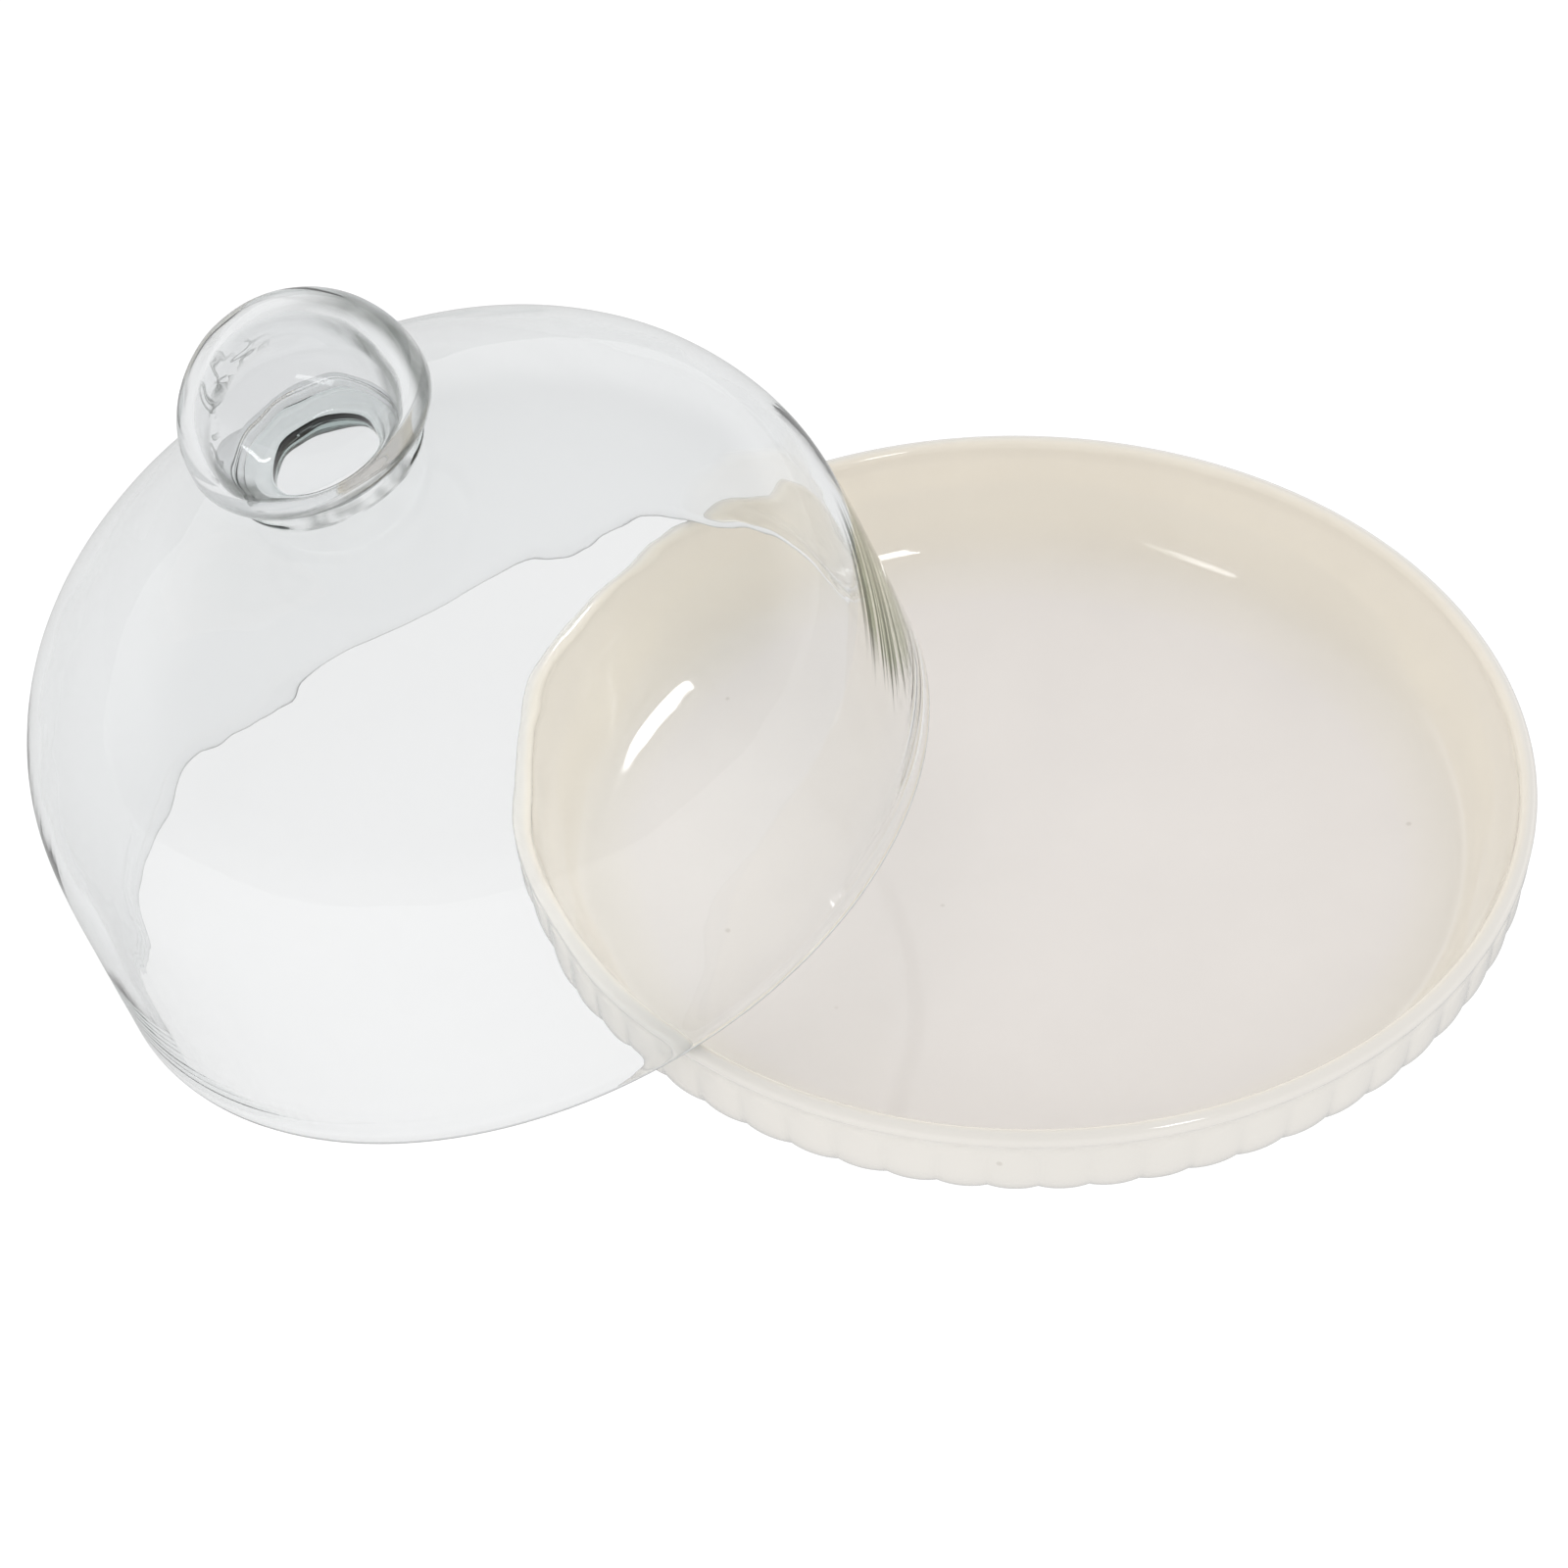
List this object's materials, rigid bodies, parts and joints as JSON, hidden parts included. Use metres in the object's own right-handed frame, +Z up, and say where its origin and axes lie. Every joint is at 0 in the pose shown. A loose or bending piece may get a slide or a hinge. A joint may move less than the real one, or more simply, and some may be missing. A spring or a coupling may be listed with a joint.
{
  "type": "cake dome",
  "caption": "Clear blown-glass cake dome with a hollow ball knob, leaning on the rim of a fluted, footed glazed ceramic dish.",
  "frame": {"origin": "on the table, under the middle of the whole group's box", "axes": "+X from the leaning dome towards the dish, +Z up"},
  "size_m": [0.299, 0.204, 0.1606],
  "materials": {
    "glazed_ceramic": "gloss ivory glaze with fine specks",
    "bell_glass": "clear blown glass, fire-polished",
    "knob_glass": "thick clear blown glass"
  },
  "bodies": {
    "dish": {"dish": "glazed_ceramic"},
    "dome": {"dome_bell": "bell_glass", "ball_knob": "knob_glass"}
  },
  "joints": [
    {"name": "dome_lift", "type": "slide", "parent": "dish", "child": "dome", "axis": [0, 0, 1], "range_m": [0, 0.25]}
  ]
}
